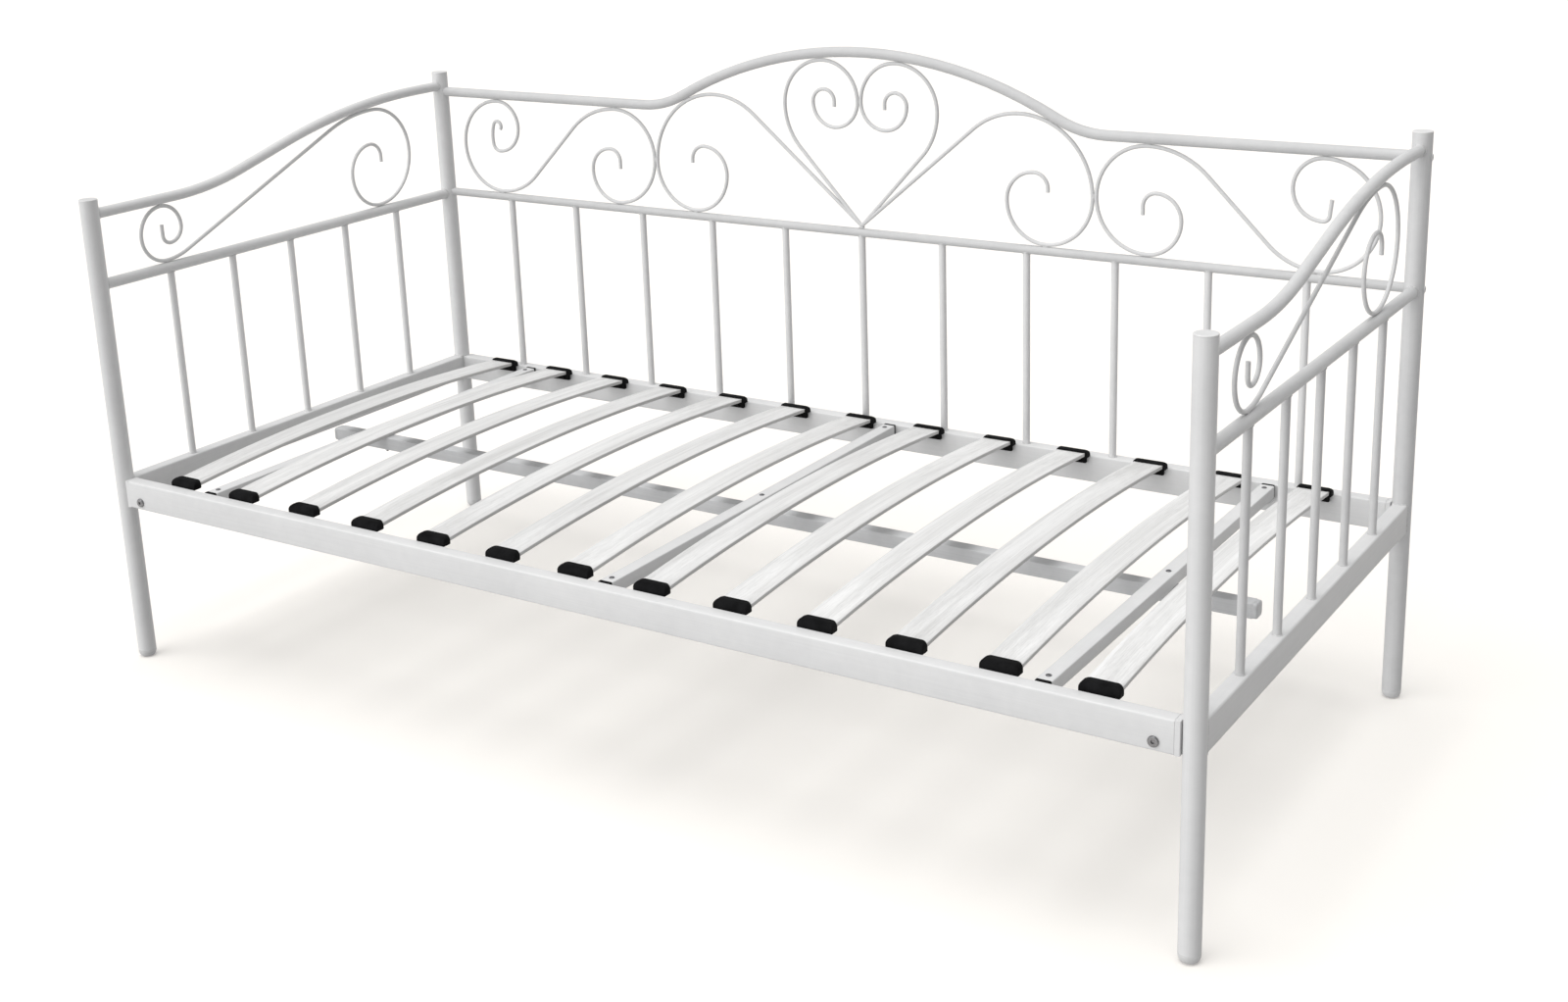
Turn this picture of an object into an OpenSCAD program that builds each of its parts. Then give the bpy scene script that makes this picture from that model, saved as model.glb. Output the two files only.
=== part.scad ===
// White steel daybed frame: two end panels, an arched back panel with scrolls and a
// heart, a front rail, and bowed slats in holders over three cross bars and a beam.
// X runs along the bed, the open front faces -Y, and Z = 0 is the floor under the feet.

/* [Posts] */
// Distance between post centres along the bed
post_span = 2050; // [2040:2:2080]
// Distance between post centres from front to back
post_depth = 916; // [912:2:930]
// Height of the front posts
front_post_h = 863; // [860:1:890]
// Height of the back posts
back_post_h = 966; // [962:1:990]
// Outside diameter of a post
post_d = 32; // [31:0.5:33]
// Wall of a post
post_wall = 1.2; // [1:0.1:2]

/* [Rails] */
// Outside diameter of the three top rails
top_d = 19; // [18:0.5:20]
// Outside diameter of the end panels' mid rails
side_mid_d = 20; // [19:0.5:22]
// Outside diameter of the back panel's mid rail
back_mid_d = 16; // [15:0.5:20]
// Wall of the round rails
round_wall = 1.3; // [1:0.1:1.6]
// Height of the end mid rails' centre line over the floor
side_mid_z = 708; // [707:1:709]
// Height of the back mid rail's centre line over the floor
back_mid_z = 712; // [710:1:713]
// Height of the back top rail where it is straight
back_top_z = 925; // [925:1:928]
// Height of the end top rails at the front post
side_top_z = 835; // [834:1:837]
// Thickness of the box rails
rail_w = 25; // [24:0.5:26]
// Height of the box rails
rail_h = 50; // [48:1:52]
// Height of the box rails' top face over the floor
rail_top = 349; // [347:1:352]
// Wall of the box rails
rail_wall = 1.5; // [1.2:0.1:2]

/* [Arch and end curves] */
// Radius of the arch in the back top rail
arch_r = 850; // [845:1:855]
// Radius of the bends where the arch meets the straight ends
arch_foot_r = 200; // [196:1:204]
// Rise of the arch over the straight ends
arch_rise = 122.4; // [122.4:0.2:124]
// Angle of the end rails where they climb to the back post
climb_a = 15; // [14.9:0.05:15.1]

/* [Spindles and scrolls] */
// Diameter of a spindle
spindle_d = 13; // [10:0.5:15]
// Pitch of the back spindles
back_pitch = 170; // [160:1:172]
// Pitch of the end spindles
side_pitch = 148; // [135:1:148]
// Diameter of the scroll rods
rod_d = 7; // [6:0.5:8]

/* [Slats] */
// Width of a slat
slat_w = 54; // [50:1:56]
// Thickness of a slat
slat_t = 7; // [6:0.5:7]
// Pitch of the slats
slat_pitch = 147.5; // [140:0.5:147.5]
// Height of the bow in the middle of a slat
slat_bow = 20; // [16:1:22]

/* [Support] */
// Width of a cross bar
bar_w = 25; // [20:1:26]
// Height of a cross bar
bar_h = 22; // [20:1:25]
// Width of the centre beam
beam_w = 25; // [20:1:30]
// Height of the centre beam
beam_h = 25; // [20:1:30]
// Half length of the centre beam
beam_half = 939; // [900:1:950]

/* [Hidden] */

WHITE = [0.93, 0.93, 0.92];
WOOD = [0.88, 0.87, 0.84];
BLACK = [0.05, 0.05, 0.05];
ZINC = [0.55, 0.56, 0.58];

xp = post_span / 2;         // post centre from the middle
yp = post_depth / 2;
pr = post_d / 2;
weld = 0.05;                // a coped end stands this far off what it is welded to
touch = 0.1;                // a rod passes a rail at this distance
foot_h = 14;                // foot caps under the tubes
cap_h = 2;                  // caps on the tubes
rail_end = xp - 24;         // end of the long box rails
rail_z0 = rail_top - rail_h;
rail_in = yp - rail_w / 2;  // inner face of the long rails
bolt_x = xp - 52;           // bolts near the ends of the long rails
bolt_z = rail_z0 + 14;
spindle_y = -3;             // the end spindles stand a little towards the front
plug_len = 19;
big = 256;

// Rods: the lowest and highest centre line between the mid rail and the top rails
lo = back_mid_z + back_mid_d / 2 + rod_d / 2 + touch;
lo_side = side_mid_z + side_mid_d / 2 + rod_d / 2 + touch;
hi = back_top_z - top_d / 2 - rod_d / 2 - touch;
hi_side = side_top_z - top_d / 2 - rod_d / 2 - touch;

// Slat holders
holder_w = slat_w + 6;
holder_deep = 20;
holder_z0 = rail_top - 14;
hood_z0 = rail_top - 1.6;   // underside of the hood
holder_z1 = rail_top + 12.5;
holder_gap = 0.1;
pin_z = rail_top - 7.5;
slat_half = rail_in - 4.5;
slat_z = rail_top + 0.6;    // underside of a slat at its ends
slat_r = (slat_half * slat_half + slat_bow * slat_bow) / (2 * slat_bow);
slat_a = asin(slat_half / slat_r);

// Cross bars lie between slats, to the left of the middle of their gaps
bar_top = rail_top - 0.5;
bar_z0 = bar_top - bar_h;
bar_plug = 7;               // thickness of the plugs' heads
bar_half = rail_in - 0.3 - bar_plug;
bar_x = [-5.5 * slat_pitch - 7, 0.5 * slat_pitch - 13, 5.5 * slat_pitch - 9];
bar_screw_y = rail_in - 22;
tab_t = 3;
beam_z0 = bar_z0 - beam_h;

// ---------------------------------------------------------------- planes

// Draws in the plane of the back panel: X stays X and Y becomes height
module on_back() { translate([0, yp, 0]) rotate([90, 0, 0]) children(); }

// Draws in the plane of an end panel: X becomes depth and Y becomes height
module on_side(s) { translate([s * xp, 0, 0]) rotate([90, 0, 90]) children(); }

// ---------------------------------------------------------------- bent rods and tubes

// A bend chart is a list of [radius, angle], turning left where the angle is
// positive, and [0, length] for a straight.
function next_p(p, h, s) = s[0] == 0
  ? [p[0] + s[1] * cos(h), p[1] + s[1] * sin(h)]
  : let (g = sign(s[1]), c = bend_c(p, h, s))
    [c[0] + g * s[0] * sin(h + s[1]), c[1] - g * s[0] * cos(h + s[1])];
function bend_c(p, h, s) =
  [p[0] - sign(s[1]) * s[0] * sin(h), p[1] + sign(s[1]) * s[0] * cos(h)];
function next_h(h, s) = s[0] == 0 ? h : h + s[1];

module ring(ro, ri) {
  if (ri > 0) difference() { circle(r = ro, $fn = 64); circle(r = ri, $fn = 64); }
  else circle(r = ro, $fn = 64);
}

// Neighbouring bends stop short of each other inside a thin sleeve that joins them
short = 0.05;
module sleeve(p, h, ro, ri) {
  translate([p[0], p[1], 0]) rotate([0, 0, h]) rotate([0, 90, 0])
    translate([0, 0, -0.5]) linear_extrude(height = 1) ring(ro + 0.03, ri > 0 ? ri - 0.03 : 0);
}

module bent(p, h, chart, ro, ri = 0, i = 0) {
  if (i < len(chart)) {
    s = chart[i];
    d = s[0] == 0 ? short : short / s[0] * 180 / PI;
    if (i > 0) sleeve(p, h, ro, ri);
    if (s[0] == 0)
      translate([p[0], p[1], 0]) rotate([0, 0, h]) rotate([0, 90, 0])
        translate([0, 0, d]) linear_extrude(height = s[1] - 2 * d) ring(ro, ri);
    else
      translate(concat(bend_c(p, h, s), [0]))
        rotate([0, 0, (s[1] > 0 ? h - 90 : h + 90 + s[1]) + d])
          rotate_extrude(angle = abs(s[1]) - 2 * d, $fn = big)
            translate([s[0], 0]) ring(ro, ri);
    bent(next_p(p, h, s), next_h(h, s), chart, ro, ri, i + 1);
  }
}

// Heading and length of the straight between a left bend of radius r1 about a and a
// right bend of radius r2 about b
function s_len(a, r1, b, r2) = sqrt(pow(norm(b - a), 2) - pow(r1 + r2, 2));
function s_head(a, r1, b, r2) =
  atan2(b[1] - a[1], b[0] - a[0]) + asin((r1 + r2) / norm(b - a));

module post_hole(sx, sy, r, z0, z1) {
  translate([sx * xp, sy * yp, z0]) cylinder(r = r, h = z1 - z0, $fn = 96);
}

module x_pin(x0, x1, y, z, r) {
  translate([x0, y, z]) rotate([0, 90, 0]) cylinder(r = r, h = x1 - x0, $fn = 48);
}

module y_pin(x, y0, y1, z, r) {
  translate([x, y0, z]) rotate([-90, 0, 0]) cylinder(r = r, h = y1 - y0, $fn = 48);
}

// ---------------------------------------------------------------- posts

module post(sx, sy) {
  h = sy < 0 ? front_post_h : back_post_h;
  color(WHITE) difference() {
    post_hole(sx, sy, pr, foot_h, h - cap_h);
    post_hole(sx, sy, pr - post_wall, foot_h - 1, h);
    // holes for the bolts that hold the back panel
    if (sy > 0) for (z = [back_mid_z, back_top_z])
      x_pin(sx * xp - 20, sx * xp + 20, yp, z, 3.2);
  }
}

module left_front_post() post(-1, -1);
module left_back_post() post(-1, 1);
module right_front_post() post(1, -1);
module right_back_post() post(1, 1);

// ---------------------------------------------------------------- end panels

climb_run = 188;            // level stretch at the front
climb_straight = 124.2;
climb_r1 = 618;
climb_r2 = 1430;
climb_rest = post_depth - climb_run - (climb_r1 + climb_r2) * sin(climb_a)
  - climb_straight * cos(climb_a);
side_back_z = side_top_z + (climb_r1 + climb_r2) * (1 - cos(climb_a))
  + climb_straight * sin(climb_a);

module side_top_rail(s) {
  color(WHITE) difference() {
    on_side(s) bent([-yp, side_top_z], 0,
      [[0, climb_run], [climb_r1, climb_a], [0, climb_straight],
       [climb_r2, -climb_a], [0, climb_rest]], top_d / 2, top_d / 2 - round_wall);
    post_hole(s, -1, pr + weld, side_top_z - 30, side_top_z + 30);
    post_hole(s, 1, pr + weld, side_back_z - 30, side_back_z + 30);
  }
}

module side_mid_rail(s) {
  color(WHITE) difference() {
    y_pin(s * xp, -yp, yp, side_mid_z, side_mid_d / 2);
    y_pin(s * xp, -yp - 1, yp + 1, side_mid_z, side_mid_d / 2 - round_wall);
    for (t = [-1, 1]) post_hole(s, t, pr + weld, side_mid_z - 30, side_mid_z + 30);
  }
}

module side_bottom_rail(s) {
  color(WHITE) difference() {
    translate([s * xp - rail_w / 2, -yp, rail_z0]) cube([rail_w, post_depth, rail_h]);
    translate([s * xp - rail_w / 2 + rail_wall, -yp - 1, rail_z0 + rail_wall])
      cube([rail_w - 2 * rail_wall, post_depth + 2, rail_h - 2 * rail_wall]);
    for (t = [-1, 1]) post_hole(s, t, pr + weld, rail_z0 - 5, rail_top + 5);
  }
}

module side_spindles(s) {
  color(WHITE) for (i = [-2 : 2]) difference() {
    translate([s * xp, i * side_pitch + spindle_y, rail_top])
      cylinder(d = spindle_d, h = side_mid_z - rail_top - 2, $fn = 48);
    translate([0, i * side_pitch + spindle_y, 0])
      y_pin(s * xp, -20, 20, side_mid_z, side_mid_d / 2 + weld);
  }
}

// The end scroll: a small curl at the front, a long rise, and a large curl at the back
side_p = [-305, lo_side];
side_q = [250, hi_side + 94.22];
side_r1 = 130;
side_r2 = 318;
side_c1 = side_p + [0, side_r1];
side_c2 = side_q - [0, side_r2];
side_h = s_head(side_c1, side_r1, side_c2, side_r2);
side_l = s_len(side_c1, side_r1, side_c2, side_r2);
side_turn = (side_q[1] - lo_side) / 2;

module side_scroll(s) {
  color(WHITE) on_side(s) {
    bent(side_p, 0, [[side_r1, side_h], [0, side_l], [side_r2, -side_h],
      [side_turn, -180], [70, -90], [56, -90], [28, -90], [0, 12]], rod_d / 2);
    sleeve(side_p, 0, rod_d / 2, 0);
    bent(side_p, 180, [[(hi_side - lo_side) / 2, -180], [42, -90], [28, -90],
      [16, -90], [0, 20]], rod_d / 2);
  }
}

module left_top_rail() side_top_rail(-1);
module left_mid_rail() side_mid_rail(-1);
module left_bottom_rail() side_bottom_rail(-1);
module left_spindles() side_spindles(-1);
module left_scroll() side_scroll(-1);
module right_top_rail() side_top_rail(1);
module right_mid_rail() side_mid_rail(1);
module right_bottom_rail() side_bottom_rail(1);
module right_spindles() side_spindles(1);
module right_scroll() side_scroll(1);

// ---------------------------------------------------------------- back panel

arch_a = acos(1 - arch_rise / (arch_r + arch_foot_r));
arch_half = (arch_r + arch_foot_r) * sin(arch_a);

module back_top_rail() {
  color(WHITE) difference() {
    on_back() bent([-xp, back_top_z], 0,
      [[0, xp - arch_half], [arch_foot_r, arch_a], [arch_r, -2 * arch_a],
       [arch_foot_r, arch_a], [0, xp - arch_half]], top_d / 2, top_d / 2 - round_wall);
    for (s = [-1, 1]) post_hole(s, 1, pr + weld, back_top_z - 30, back_top_z + 30);
  }
}

module back_mid_rail() {
  color(WHITE) difference() {
    x_pin(-xp, xp, yp, back_mid_z, back_mid_d / 2);
    x_pin(-xp - 1, xp + 1, yp, back_mid_z, back_mid_d / 2 - round_wall);
    for (s = [-1, 1]) post_hole(s, 1, pr + weld, back_mid_z - 30, back_mid_z + 30);
  }
}

module back_spindles() {
  color(WHITE) for (i = [-5 : 5]) difference() {
    translate([i * back_pitch, yp, rail_top])
      cylinder(d = spindle_d, h = back_mid_z - rail_top - 2, $fn = 48);
    x_pin(i * back_pitch - 20, i * back_pitch + 20, yp, back_mid_z, back_mid_d / 2 + weld);
  }
}

in_x = -466;                // leftmost point of the inner scroll

// Outer scroll, drawn on the left: a curl at the post, a rise, and a curl at the arch foot
out_p = [-872, lo];
out_turn = (hi - lo) / 2;
out_q = [in_x - rod_d - touch - out_turn, hi];  // it passes the inner scroll's edge
out_r1 = 128;
out_r2 = 152;
out_h = s_head(out_p + [0, out_r1], out_r1, out_q - [0, out_r2], out_r2);
out_l = s_len(out_p + [0, out_r1], out_r1, out_q - [0, out_r2], out_r2);

out_curl = [[17, -80], [80, -30], [10, -196]];   // end of the left one
out_hook = [[11, -84], [0, 27]];                 // plainer end of the right one

module outer_scroll(tail) {
  bent(out_p, 0, [[out_r1, out_h], [0, out_l], [out_r2, -out_h], [out_turn, -180],
    [62, -90], [46, -90], [24, -90], [0, 15]], rod_d / 2);
  sleeve(out_p, 0, rod_d / 2, 0);
  bent(out_p, 180, concat([[out_turn, -180], [52, -180]], tail), rod_d / 2);
}

// The heart and the inner scrolls meet at a tip on the mid rail
tip = [0, lo + 1.2];

// Inner scroll, drawn on the left
in_r1 = 89;
in_r2 = 141;
in_p = [in_x + in_r1, lo];
in_c = [in_x + in_r2, lo + in_r1];
in_d = norm(tip - in_c);
in_h = atan2(in_c[1] - tip[1], in_c[0] - tip[0]) - asin(in_r2 / in_d) - 180;
in_l = sqrt(in_d * in_d - in_r2 * in_r2);

// Heart half, drawn on the left
heart_a = 133;              // heading of its side, away from the tip
heart_x = -162.2;           // leftmost point
heart_r1 = 118;
heart_r2 = 85;
heart_l = (heart_x + heart_r1 * (1 - sin(heart_a))) / cos(heart_a);
heart_in = -heart_x - heart_r2 - rod_d / 2 - 0.15;

// Line that parts the heart's side from the inner scroll at the tip
part_a = (heart_a + in_h + 180) / 2;

module inner_scroll() {
  difference() {
    bent(in_p, 180, [[in_r1, -90], [in_r2, -90 + in_h], [0, in_l]], rod_d / 2);
    // the end is trimmed along the heart's side
    translate([0, tip[1], -10]) rotate([0, 0, part_a - 180])
      translate([-150, -weld, 0]) cube([200, 40, 20]);
    translate([-weld, tip[1] - 20, -10]) cube([20, 40, 20]);
  }
  sleeve(in_p, 0, rod_d / 2, 0);
  bent(in_p, 0, [[76, 90], [52, 90], [28, 90], [0, 6]], rod_d / 2);
}

module heart_half() {
  difference() {
    bent(tip, heart_a, [[0, heart_l], [heart_r1, 90 - heart_a], [heart_r2, -90],
      [heart_in, -90], [50, -90], [46, -90], [24, -90], [22, -90], [0, 10]], rod_d / 2);
    translate([0, tip[1], -10]) rotate([0, 0, part_a - 180])
      translate([-150, -40 + weld, 0]) cube([200, 40, 20]);
    translate([-weld, tip[1] - 20, -10]) cube([20, 40, 20]);
  }
}

module mirrored() { mirror([1, 0, 0]) children(); }

module scroll_outer_left() color(WHITE) on_back() outer_scroll(out_curl);
module scroll_inner_left() color(WHITE) on_back() inner_scroll();
module heart_left() color(WHITE) on_back() heart_half();
module heart_right() color(WHITE) mirrored() on_back() heart_half();
module scroll_inner_right() color(WHITE) mirrored() on_back() inner_scroll();
module scroll_outer_right() color(WHITE) mirrored() on_back() outer_scroll(out_hook);

// ---------------------------------------------------------------- long rails

// A long box rail, drawn for the front: pin holes for the slat holders in the inner
// wall and bolt holes in the outer wall
module long_rail() {
  difference() {
    translate([-rail_end, -yp - rail_w / 2, rail_z0]) cube([2 * rail_end, rail_w, rail_h]);
    translate([-rail_end - 1, -yp - rail_w / 2 + rail_wall, rail_z0 + rail_wall])
      cube([2 * rail_end + 2, rail_w - 2 * rail_wall, rail_h - 2 * rail_wall]);
    for (x = [-bolt_x, bolt_x])
      y_pin(x, -yp - rail_w / 2 - 1, -yp - rail_w / 2 + 3, bolt_z, 4.3);
    for (i = [-6 : 6])
      y_pin(i * slat_pitch, -rail_in - 4, -rail_in + 1, pin_z, 4.2);
  }
}

module front_rail() color(WHITE) long_rail();
module back_rail() color(WHITE) mirror([0, 1, 0]) long_rail();

// Tabs welded inside the long rails; the cross bars rest on them
module cross_bar_tabs() {
  color(WHITE) for (x = bar_x) for (t = [0, 1]) mirror([0, t, 0]) difference() {
    translate([x - bar_w / 2, -rail_in + weld, bar_z0 - tab_t]) cube([bar_w, 34, tab_t]);
    translate([x, -bar_screw_y, bar_z0 - tab_t - 1]) cylinder(r = 2.7, h = tab_t + 2, $fn = 32);
  }
}

// A shallow pan welded to a post, with a tongue on it; the open end of the long rail
// slips over the tongue and meets the pan
pan_x = xp - pr - weld;     // flat back of the pan, against the post
module bracket(sx, sy) {
  w = rail_w - 0.4;
  color(WHITE) mirror([sx > 0 ? 0 : 1, 0, 0]) mirror([0, sy > 0 ? 0 : 1, 0]) difference() {
    union() {
      translate([rail_end + 0.3, yp - w / 2, rail_z0 + 0.2])
        cube([pan_x - rail_end - 0.3, w, rail_h - 0.4]);
      translate([xp - 70, yp + 5, rail_z0 + 1.8]) cube([pan_x - xp + 69, 4, rail_h - 3.6]);
    }
    // hollow of the pan, in front of the tongue
    translate([rail_end - 1, yp - w / 2 + 2.2, rail_z0 + 2.4])
      cube([pan_x - 2.5 - rail_end + 1, w / 2 + 2.8 - 2.2, rail_h - 4.8]);
    y_pin(bolt_x, yp - 12, yp + 12, bolt_z, 4.3);
  }
}

module bracket_front_left() bracket(-1, -1);
module bracket_front_right() bracket(1, -1);
module bracket_back_left() bracket(-1, 1);
module bracket_back_right() bracket(1, 1);

// ---------------------------------------------------------------- slats and holders

module slat(i) {
  color(WOOD) translate([(i - 7) * slat_pitch, 0, 0]) rotate([90, 0, 90])
    translate([0, slat_z + slat_bow - slat_r, 0]) rotate([0, 0, 90 - slat_a])
      rotate_extrude(angle = 2 * slat_a, $fn = big)
        translate([slat_r, -slat_w / 2]) square([slat_t, slat_w]);
}

module slat_01() slat(1);
module slat_02() slat(2);
module slat_03() slat(3);
module slat_04() slat(4);
module slat_05() slat(5);
module slat_06() slat(6);
module slat_07() slat(7);
module slat_08() slat(8);
module slat_09() slat(9);
module slat_10() slat(10);
module slat_11() slat(11);
module slat_12() slat(12);
module slat_13() slat(13);

// A rectangle from y = 0 up to y = h, with its two upper corners rounded
module rounded(w, h, r) {
  translate([-w / 2, 0]) square([w, h - r]);
  translate([-w / 2 + r, 0]) square([w - 2 * r, h]);
  for (t = [-1, 1]) translate([t * (w / 2 - r), h - r]) circle(r = r, $fn = 64);
}

// Side view of the hood: its edge along the rail is well rounded
module hood_side(h, r) {
  square([holder_deep, h - r]);
  translate([r, 0]) square([holder_deep - r, h]);
  translate([r, h - r]) circle(r = r, $fn = 64);
}

// Side view of the slot's roof, u along the slat from its end
function slot_roof(u) = [u * cos(slat_a) - (slat_t + 0.5) * sin(slat_a),
  u * sin(slat_a) + (slat_t + 0.5) * cos(slat_a)];

// A holder, drawn for the front rail at x = 0: a hood over the slat's end, a foot against
// the rail, and a pin that plugs into the rail's inner wall
module holder() {
  y0 = -rail_in + holder_gap;
  high = holder_z1 - hood_z0;
  difference() {
    union() {
      intersection() {
        translate([0, y0 + holder_deep, hood_z0]) rotate([90, 0, 0])
          linear_extrude(height = holder_deep) rounded(holder_w, high, 8);
        translate([0, y0, hood_z0 - 1])
          linear_extrude(height = high + 2) rounded(holder_w, holder_deep, 7);
        translate([-holder_w / 2 - 1, y0, hood_z0]) rotate([90, 0, 90])
          linear_extrude(height = holder_w + 2) hood_side(high, 10);
      }
      translate([-24, y0, holder_z0]) cube([48, 7, hood_z0 - holder_z0 + 1]);
    }
    // the slot: its roof follows the slat's end, its floor is level so that the slat
    // can flatten
    translate([-slat_w / 2 - 0.5, -slat_half, slat_z]) rotate([90, 0, 90])
      linear_extrude(height = slat_w + 1) polygon([[-1, -0.5], [39, -0.5],
        slot_roof(39), slot_roof(-1)]);
  }
  y_pin(0, -rail_in - 8, -rail_in + holder_gap + 1, pin_z, 4);
}

module front_slat_holders() color(BLACK)
  for (i = [-6 : 6]) translate([i * slat_pitch, 0, 0]) holder();
module back_slat_holders() color(BLACK)
  for (i = [-6 : 6]) translate([i * slat_pitch, 0, 0]) mirror([0, 1, 0]) holder();

// ---------------------------------------------------------------- cross bars and beam

module cross_bar(x) {
  color(WHITE) difference() {
    translate([x - bar_w / 2, -bar_half, bar_z0]) cube([bar_w, 2 * bar_half, bar_h]);
    translate([x - bar_w / 2 + 1.2, -bar_half - 1, bar_z0 + 1.2])
      cube([bar_w - 2.4, 2 * bar_half + 2, bar_h - 2.4]);
    for (y = [-bar_screw_y, 0, bar_screw_y]) translate([x, y, bar_z0 - 1])
      cylinder(r = 2.7, h = bar_h + 2, $fn = 32);
  }
}

module cross_bar_left() cross_bar(bar_x[0]);
module cross_bar_centre() cross_bar(bar_x[1]);
module cross_bar_right() cross_bar(bar_x[2]);

module cross_bar_plugs() {
  color(BLACK) for (x = bar_x) for (s = [0, 1]) mirror([0, s, 0]) union() {
    translate([x - bar_w / 2 + 2, -bar_half - bar_plug, bar_z0 + 1])
      cube([bar_w - 4, bar_plug, bar_h - 1]);
    translate([x - bar_w / 2 + 1.4, -bar_half - 1, bar_z0 + 1.4])
      cube([bar_w - 2.8, 13, bar_h - 2.8]);
  }
}

module screw(x, y, z, long) {
  translate([x, y, z]) cylinder(r = 4.4, h = 1.8, $fn = 48);
  translate([x, y, z - long]) cylinder(r = 2.45, h = long + 1, $fn = 32);
}

module cross_bar_screws() {
  color(ZINC) for (x = bar_x) {
    for (s = [-1, 1]) difference() {
      screw(x, s * bar_screw_y, bar_top + 0.05, bar_h + tab_t + 7);
      translate([x, s * bar_screw_y, bar_top + 2]) rotate([0, 0, 45]) {
        cube([5.6, 1.2, 2.4], center = true);
        cube([1.2, 5.6, 2.4], center = true);
      }
    }
    difference() {
      screw(x, 0, bar_top + 0.05, bar_h + beam_h + 7);
      translate([x, 0, bar_top + 2]) rotate([0, 0, 45]) {
        cube([5.6, 1.2, 2.4], center = true);
        cube([1.2, 5.6, 2.4], center = true);
      }
    }
  }
}

module nut(x, y, z) {
  difference() {
    translate([x, y, z]) cylinder(r = 4.6, h = 4, $fn = 6);
    translate([x, y, z - 1]) cylinder(r = 2.5, h = 6, $fn = 32);
  }
}

module cross_bar_nuts() {
  color(ZINC) for (x = bar_x) {
    for (s = [-1, 1]) nut(x, s * bar_screw_y, bar_z0 - tab_t - 4.05);
    nut(x, 0, beam_z0 - 4.05);
  }
}

module centre_beam() {
  color(WHITE) difference() {
    translate([-beam_half, -beam_w / 2, beam_z0]) cube([2 * beam_half, beam_w, beam_h]);
    translate([-beam_half - 1, -beam_w / 2 + 1.5, beam_z0 + 1.5])
      cube([2 * beam_half + 2, beam_w - 3, beam_h - 3]);
    for (x = bar_x) translate([x, 0, beam_z0 - 1])
      cylinder(r = 2.7, h = beam_h + 2, $fn = 32);
  }
}

// A square from the middle, with round corners
module soft_square(w, h, r) {
  square([w - 2 * r, h], center = true);
  square([w, h - 2 * r], center = true);
  for (a = [-1, 1]) for (b = [-1, 1]) translate([a * (w / 2 - r), b * (h / 2 - r)])
    circle(r = r, $fn = 48);
}

module centre_beam_plugs() {
  color(WHITE) for (s = [0, 1]) mirror([s, 0, 0]) union() {
    translate([beam_half, 0, beam_z0 + beam_h / 2]) rotate([90, 0, 90])
      linear_extrude(height = 8) soft_square(beam_w, beam_h, 5);
    translate([beam_half - 14, -beam_w / 2 + 1.7, beam_z0 + 1.7])
      cube([15, beam_w - 3.4, beam_h - 3.4]);
  }
}

// ---------------------------------------------------------------- caps on the posts

module post_top_caps() {
  color(WHITE) for (sx = [-1, 1]) for (sy = [-1, 1]) {
    h = sy < 0 ? front_post_h : back_post_h;
    post_hole(sx, sy, pr, h - cap_h, h);
    post_hole(sx, sy, pr - post_wall - 0.1, h - cap_h - 14, h - cap_h + 1);
  }
}

// Foot caps with a rounded underside: each pair is [height, radius]
foot_steps = [[0, pr - 5.2], [2.5, pr - 2.6], [6, pr - 0.8], [10, pr]];
module foot_caps() {
  color(WHITE) for (sx = [-1, 1]) for (sy = [-1, 1]) {
    for (i = [0 : 2]) translate([sx * xp, sy * yp, foot_steps[i][0]])
      cylinder(r1 = foot_steps[i][1], r2 = foot_steps[i + 1][1],
        h = foot_steps[i + 1][0] - foot_steps[i][0], $fn = 96);
    post_hole(sx, sy, pr, 10, foot_h);
    post_hole(sx, sy, pr - post_wall - 0.1, 9, foot_h + 16);
  }
}

// ---------------------------------------------------------------- fasteners

module rail_bolts() {
  color(ZINC) for (sx = [-1, 1]) for (s = [0, 1]) mirror([0, s, 0]) {
    y0 = -yp - rail_w / 2;
    difference() {
      union() {
        y_pin(sx * bolt_x, y0 - 3.5, y0 - 0.05, bolt_z, 8);
        y_pin(sx * bolt_x, y0 - 1, y0 + 17, bolt_z, 3.95);
      }
      translate([sx * bolt_x, y0 - 4, bolt_z]) rotate([-90, 0, 0]) cylinder(r = 2.9, h = 3, $fn = 6);
    }
  }
}

module rail_nuts() {
  color(ZINC) for (sx = [-1, 1]) for (s = [0, 1]) mirror([0, s, 0]) difference() {
    translate([sx * bolt_x, -yp - 4.95, bolt_z]) rotate([-90, 0, 0]) cylinder(r = 7.5, h = 6.5, $fn = 6);
    y_pin(sx * bolt_x, -yp - 6, -yp + 3, bolt_z, 4);
  }
}

module back_panel_bolts() {
  color(WHITE) for (s = [0, 1]) mirror([s, 0, 0]) for (z = [back_mid_z, back_top_z])
    difference() {
      union() {
        x_pin(xp + pr + 0.05, xp + pr + 1.6, yp, z, 5.5);
        x_pin(xp - pr - 18, xp + pr + 1, yp, z, 2.95);
      }
      translate([xp + pr + 0.7, yp, z]) rotate([0, 90, 0]) cylinder(r = 2.3, h = 3, $fn = 6);
    }
}

module rail_end_plugs() {
  color(ZINC) for (s = [0, 1]) mirror([s, 0, 0])
    for (zd = [[back_mid_z, back_mid_d], [back_top_z, top_d]]) difference() {
      x_pin(xp - pr - 4 - plug_len, xp - pr - 4, yp, zd[0], zd[1] / 2 - round_wall - 0.1);
      x_pin(xp - pr - 5 - plug_len, xp - pr, yp, zd[0], 3);
    }
}

// ---------------------------------------------------------------- draw

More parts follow.
